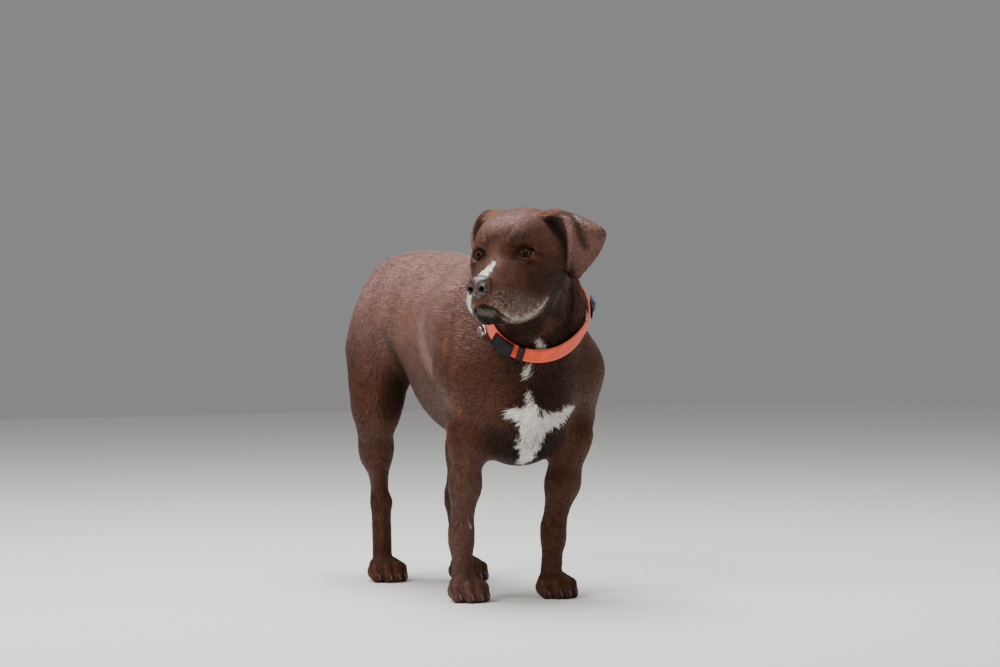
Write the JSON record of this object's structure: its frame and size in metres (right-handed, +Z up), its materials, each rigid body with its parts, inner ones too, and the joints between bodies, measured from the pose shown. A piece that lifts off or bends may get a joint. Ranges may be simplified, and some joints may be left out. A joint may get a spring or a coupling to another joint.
{
  "type": "standing dog model",
  "caption": "Life-size museum model of a standing short-coated brown dog with a white chest mark and folded ears, its head turned to its right, wearing a webbing collar.",
  "frame": {"origin": "on the floor under the middle of the bounding box", "axes": "+Z up, the dog's chest faces -Y and its left side is +X"},
  "size_m": [0.3562, 0.8476, 0.6687],
  "materials": {
    "coat": "short glossy fur, dark chocolate brown with white chest mark and grizzled muzzle",
    "nose_skin": "pebbled moist skin",
    "eye_glass": "polished amber brown glass eye",
    "claw_horn": "satin horn",
    "webbing": "woven orange webbing",
    "black_plastic": "fine moulded grain",
    "grey_plastic": "satin",
    "steel": "polished, lightly scratched"
  },
  "bodies": {
    "root": {"head": "coat", "trunk": "coat", "neck": "coat", "tail": "coat", "ear_left": "coat", "ear_right": "coat", "fore_leg_left_upper": "coat", "fore_leg_left_pastern": "coat", "fore_leg_left_paw": "coat", "fore_leg_right_upper": "coat", "fore_leg_right_pastern": "coat", "fore_leg_right_paw": "coat", "hind_leg_left_thigh": "coat", "hind_leg_left_shank": "coat", "hind_leg_left_pastern": "coat", "hind_leg_left_paw": "coat", "hind_leg_right_thigh": "coat", "hind_leg_right_shank": "coat", "hind_leg_right_pastern": "coat", "hind_leg_right_paw": "coat", "claw_fore_leg_left_1": "claw_horn", "claw_fore_leg_left_2": "claw_horn", "claw_fore_leg_left_3": "claw_horn", "claw_fore_leg_left_4": "claw_horn", "claw_fore_leg_right_1": "claw_horn", "claw_fore_leg_right_2": "claw_horn", "claw_fore_leg_right_3": "claw_horn", "claw_fore_leg_right_4": "claw_horn", "claw_hind_leg_left_1": "claw_horn", "claw_hind_leg_left_2": "claw_horn", "claw_hind_leg_left_3": "claw_horn", "claw_hind_leg_left_4": "claw_horn", "claw_hind_leg_right_1": "claw_horn", "claw_hind_leg_right_2": "claw_horn", "claw_hind_leg_right_3": "claw_horn", "claw_hind_leg_right_4": "claw_horn", "nose": "nose_skin", "eye_left": "eye_glass", "eye_right": "eye_glass", "collar_strap": "webbing", "buckle": "black_plastic", "slider": "black_plastic", "tracker_clip": "black_plastic", "tracker_case": "grey_plastic", "ring": "steel", "tag": "steel"}
  },
  "joints": []
}
